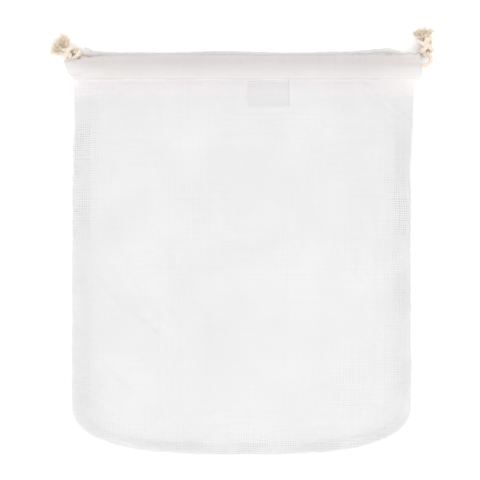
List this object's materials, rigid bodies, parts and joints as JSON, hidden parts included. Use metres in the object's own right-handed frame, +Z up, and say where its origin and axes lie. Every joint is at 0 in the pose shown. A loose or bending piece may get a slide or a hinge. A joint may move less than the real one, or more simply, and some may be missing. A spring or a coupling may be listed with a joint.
{
  "type": "mesh produce bag",
  "caption": "Flat-lying cotton net bag with folded casings at the mouth, a double drawstring knotted at both sides, inside seams and a small inner label.",
  "frame": {"origin": "the middle of the back panel's underside, which lies on the table", "axes": "+X towards the bag's right-hand side, +Y from the bottom seam to the mouth, +Z up from the table through the bag"},
  "size_m": [0.3341, 0.3812, 0.0183],
  "materials": {
    "cotton_net": "open woven cotton net, matt, natural white",
    "casing_cloth": "the net folded into a close hem, matt, natural white",
    "sewing_thread": "spun sewing thread, matt white",
    "label_tape": "smooth woven tape, satin",
    "cotton_cord": "twisted unbleached cotton cord, matt ecru"
  },
  "bodies": {
    "bag": {"front_panel": "cotton_net", "back_panel": "cotton_net", "front_casing": "casing_cloth", "back_casing": "casing_cloth", "left_seam_allowance": "cotton_net", "right_seam_allowance": "cotton_net", "bottom_seam_allowance": "cotton_net", "left_overlock_thread": "sewing_thread", "right_overlock_thread": "sewing_thread", "bottom_overlock_thread": "sewing_thread", "left_seam_stitching": "sewing_thread", "right_seam_stitching": "sewing_thread", "bottom_seam_stitching": "sewing_thread", "front_casing_stitching": "sewing_thread", "back_casing_stitching": "sewing_thread"},
    "left_cord": {"left_drawstring": "cotton_cord"},
    "right_cord": {"right_drawstring": "cotton_cord"},
    "left_knot_end": {"left_knot": "cotton_cord", "left_frayed_ends": "cotton_cord"},
    "right_knot_end": {"right_knot": "cotton_cord", "right_frayed_ends": "cotton_cord"},
    "label": {"inner_label": "label_tape"}
  },
  "joints": [
    {"name": "left_drawstring_pull", "type": "slide", "parent": "bag", "child": "left_cord", "axis": [-1, 0, 0], "range_m": [0, 0.006]},
    {"name": "right_drawstring_pull", "type": "slide", "parent": "bag", "child": "right_cord", "axis": [1, 0, 0], "range_m": [-0.002, 0.006]},
    {"name": "left_knot_swing", "type": "hinge", "parent": "left_cord", "child": "left_knot_end", "pos_m": [-0.142, 0.173, 0.0075], "axis": [0, 0, 1], "range_deg": [-10, 35]},
    {"name": "right_knot_swing", "type": "hinge", "parent": "right_cord", "child": "right_knot_end", "pos_m": [0.1619, 0.1786, 0.0075], "axis": [0, 0, 1], "range_deg": [-35, 10]},
    {"name": "label_flap", "type": "hinge", "parent": "bag", "child": "label", "pos_m": [0.024, 0.1568, 0.0013], "axis": [-1, 0, 0], "range_deg": [0, 15]}
  ]
}
